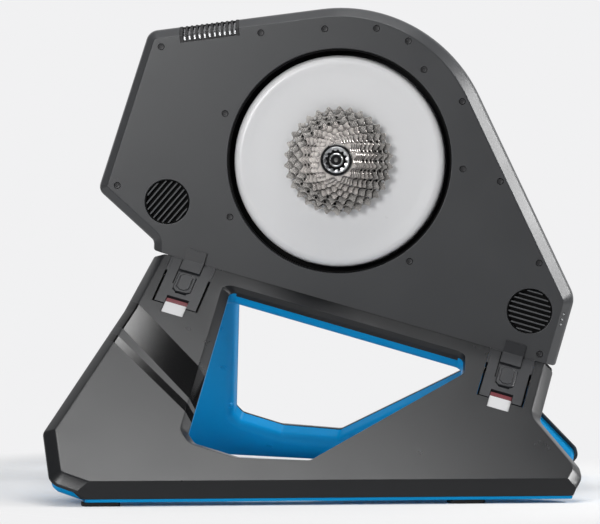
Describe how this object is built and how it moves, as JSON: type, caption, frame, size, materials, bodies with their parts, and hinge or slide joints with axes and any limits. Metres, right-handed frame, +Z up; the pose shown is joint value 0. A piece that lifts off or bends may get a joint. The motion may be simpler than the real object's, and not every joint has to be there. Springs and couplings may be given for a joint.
{
  "type": "direct drive bike trainer",
  "caption": "Direct drive bike trainer: upright motor housing with flywheel rotor, cassette on a dropout axle, vents, and wide sloping side legs that fold up on locking hinges.",
  "frame": {"origin": "on the floor, under the centre of the footprint", "axes": "+X to the front of the bike, +Y to the non drive side, +Z up; the cassette is on the -Y side"},
  "size_m": [0.576, 0.7478, 0.55],
  "materials": {
    "housing": "satin dark grey moulded plastic",
    "leg_shell": "satin charcoal moulded plastic with a glossy accent",
    "blue_shell": "semi gloss blue plastic",
    "black_trim": "fine textured black plastic",
    "bracket_black": "satin black reinforced plastic",
    "white_tab": "white plastic with a red end",
    "white_paint": "smooth white paint",
    "magnet": "dark coated magnet segments",
    "copper_winding": "varnished copper wire",
    "circuit_board": "green solder mask",
    "steel": "machined steel",
    "sprocket_steel": "nickel plated stamped steel",
    "aluminium": "satin aluminium",
    "foot_rubber": "black rubber"
  },
  "bodies": {
    "chassis": {"housing_drive_side": "housing", "housing_non_drive_side": "housing", "edge_band": "black_trim", "vent_grille_rear_drive": "black_trim", "vent_grille_rear_non_drive": "black_trim", "vent_grille_front_drive": "black_trim", "vent_grille_front_non_drive": "black_trim", "top_vent_grille": "black_trim", "heat_sink": "aluminium", "main_frame": "aluminium", "control_board": "circuit_board", "power_inlet": "black_trim", "axle_shaft": "steel", "axle_end_cap_drive": "aluminium", "axle_end_cap_non_drive": "aluminium", "rotor_bearing_inner": "steel", "rotor_bearing_outer": "steel", "stator_core": "steel", "stator_windings": "copper_winding", "hinge_bracket_rear_drive": "bracket_black", "hinge_bracket_front_drive": "bracket_black", "hinge_bracket_rear_non_drive": "bracket_black", "hinge_bracket_front_non_drive": "bracket_black", "hinge_pin_rear_drive": "steel", "hinge_pin_front_drive": "steel", "hinge_pin_rear_non_drive": "steel", "hinge_pin_front_non_drive": "steel"},
    "rotor": {"rotor_bell": "white_paint", "magnet_ring": "magnet"},
    "cassette": {"freehub_body": "steel", "sprockets_30_27_24": "sprocket_steel", "sprockets_21_19_17": "sprocket_steel", "sprocket_15": "sprocket_steel", "sprocket_14": "sprocket_steel", "sprocket_13": "sprocket_steel", "sprocket_12": "sprocket_steel", "sprocket_11": "sprocket_steel", "cassette_lockring": "aluminium"},
    "leg_drive": {"leg_outer_shell_drive": "leg_shell", "leg_inner_shell_drive": "blue_shell", "foot_rear_drive": "foot_rubber", "foot_front_drive": "foot_rubber"},
    "leg_non_drive": {"leg_outer_shell_non_drive": "leg_shell", "leg_inner_shell_non_drive": "blue_shell", "foot_rear_non_drive": "foot_rubber", "foot_front_non_drive": "foot_rubber"},
    "button_rear_drive": {"release_button_rear_drive": "bracket_black"},
    "button_front_drive": {"release_button_front_drive": "bracket_black"},
    "button_rear_non_drive": {"release_button_rear_non_drive": "bracket_black"},
    "button_front_non_drive": {"release_button_front_non_drive": "bracket_black"},
    "tab_rear_drive": {"lock_tab_rear_drive": "white_tab"},
    "tab_front_drive": {"lock_tab_front_drive": "white_tab"},
    "tab_rear_non_drive": {"lock_tab_rear_non_drive": "white_tab"},
    "tab_front_non_drive": {"lock_tab_front_non_drive": "white_tab"}
  },
  "joints": [
    {"name": "rotor_spin", "type": "hinge", "parent": "chassis", "child": "rotor", "pos_m": [0.005, 0, 0.373], "axis": [0, 1, 0], "continuous": true},
    {"name": "cassette_spin", "type": "hinge", "parent": "rotor", "child": "cassette", "pos_m": [0.005, 0, 0.373], "axis": [0, 1, 0], "continuous": true},
    {"name": "leg_fold_drive", "type": "hinge", "parent": "chassis", "child": "leg_drive", "pos_m": [-0.04251, -0.05498, 0.19569], "axis": [-0.9659, 0, 0.2588], "range_deg": [0, 118]},
    {"name": "leg_fold_non_drive", "type": "hinge", "parent": "chassis", "child": "leg_non_drive", "pos_m": [-0.04251, 0.05498, 0.19569], "axis": [0.9659, 0, -0.2588], "range_deg": [0, 118]},
    {"name": "press_rear_drive", "type": "slide", "parent": "chassis", "child": "button_rear_drive", "axis": [-0.2101, 0.5842, -0.7839], "range_m": [0, 0.003], "stiffness_N_per_m": 400, "springref_m": -0.001},
    {"name": "press_front_drive", "type": "slide", "parent": "chassis", "child": "button_front_drive", "axis": [-0.2101, 0.5842, -0.7839], "range_m": [0, 0.003], "stiffness_N_per_m": 400, "springref_m": -0.001},
    {"name": "press_rear_non_drive", "type": "slide", "parent": "chassis", "child": "button_rear_non_drive", "axis": [-0.2101, -0.5842, -0.7839], "range_m": [0, 0.003], "stiffness_N_per_m": 400, "springref_m": -0.001},
    {"name": "press_front_non_drive", "type": "slide", "parent": "chassis", "child": "button_front_non_drive", "axis": [-0.2101, -0.5842, -0.7839], "range_m": [0, 0.003], "stiffness_N_per_m": 400, "springref_m": -0.001},
    {"name": "unlock_rear_drive", "type": "slide", "parent": "leg_drive", "child": "tab_rear_drive", "axis": [-0.1512, -0.8116, -0.5643], "range_m": [0, 0.006]},
    {"name": "unlock_front_drive", "type": "slide", "parent": "leg_drive", "child": "tab_front_drive", "axis": [-0.1512, -0.8116, -0.5643], "range_m": [0, 0.006]},
    {"name": "unlock_rear_non_drive", "type": "slide", "parent": "leg_non_drive", "child": "tab_rear_non_drive", "axis": [-0.1512, 0.8116, -0.5643], "range_m": [0, 0.006]},
    {"name": "unlock_front_non_drive", "type": "slide", "parent": "leg_non_drive", "child": "tab_front_non_drive", "axis": [-0.1512, 0.8116, -0.5643], "range_m": [0, 0.006]}
  ],
  "couplings": [
    {"joint": "unlock_rear_drive", "follows": "press_rear_drive", "ratio": 2},
    {"joint": "unlock_front_drive", "follows": "press_front_drive", "ratio": 2},
    {"joint": "unlock_rear_non_drive", "follows": "press_rear_non_drive", "ratio": 2},
    {"joint": "unlock_front_non_drive", "follows": "press_front_non_drive", "ratio": 2}
  ]
}
